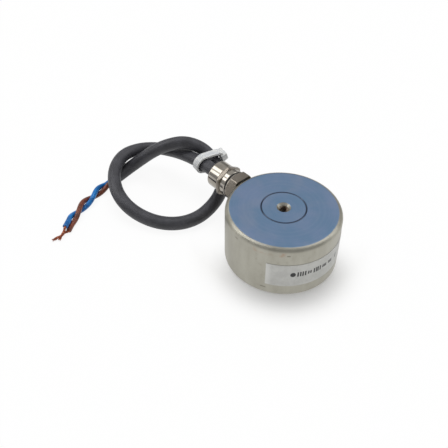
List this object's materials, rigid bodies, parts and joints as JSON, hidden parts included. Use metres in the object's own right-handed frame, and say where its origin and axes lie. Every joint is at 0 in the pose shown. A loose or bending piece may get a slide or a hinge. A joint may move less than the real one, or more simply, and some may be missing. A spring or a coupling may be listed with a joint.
{
  "type": "holding electromagnet",
  "caption": "Round pot holding electromagnet with a threaded hole in its back plate, a side cable gland and a short tied cable.",
  "frame": {"origin": "centre of the holding face, on the pole faces' plane", "axes": "+Z out of the back plate along the magnet's axis, -X along the cable gland"},
  "size_m": [0.1216, 0.099, 0.0271],
  "materials": {
    "plated_steel": "turned and zinc plated, satin",
    "spool_plastic": "moulded",
    "copper_wire": "enamelled copper wire",
    "winding_tape": "film tape",
    "potting_resin": "cast resin",
    "black_rubber": "matt",
    "nickel_brass": "nickel plated",
    "steel_ring": "plain",
    "grey_pvc": "smooth, slight sheen",
    "brown_pvc": "smooth",
    "blue_pvc": "smooth",
    "bare_copper": "bare stranded copper",
    "white_nylon": "moulded nylon",
    "shrink_sleeve": "shrunk sleeve",
    "label_tape": "matt tape"
  },
  "bodies": {
    "root": {"housing": "plated_steel", "core": "plated_steel", "bobbin": "spool_plastic", "coil_winding": "copper_wire", "winding_tape": "winding_tape", "potting_resin": "potting_resin", "gland_washer": "black_rubber", "gland_body": "nickel_brass", "gland_o_ring": "black_rubber", "gland_seal": "black_rubber", "clamp_ring": "steel_ring", "gland_nut": "nickel_brass", "cable_jacket": "grey_pvc", "brown_lead": "brown_pvc", "blue_lead": "blue_pvc", "brown_strands": "bare_copper", "blue_strands": "bare_copper", "cable_tie": "white_nylon", "brown_inner_lead": "brown_pvc", "blue_inner_lead": "blue_pvc", "brown_splice_sleeve": "shrink_sleeve", "blue_splice_sleeve": "shrink_sleeve", "label": "label_tape"}
  },
  "joints": []
}
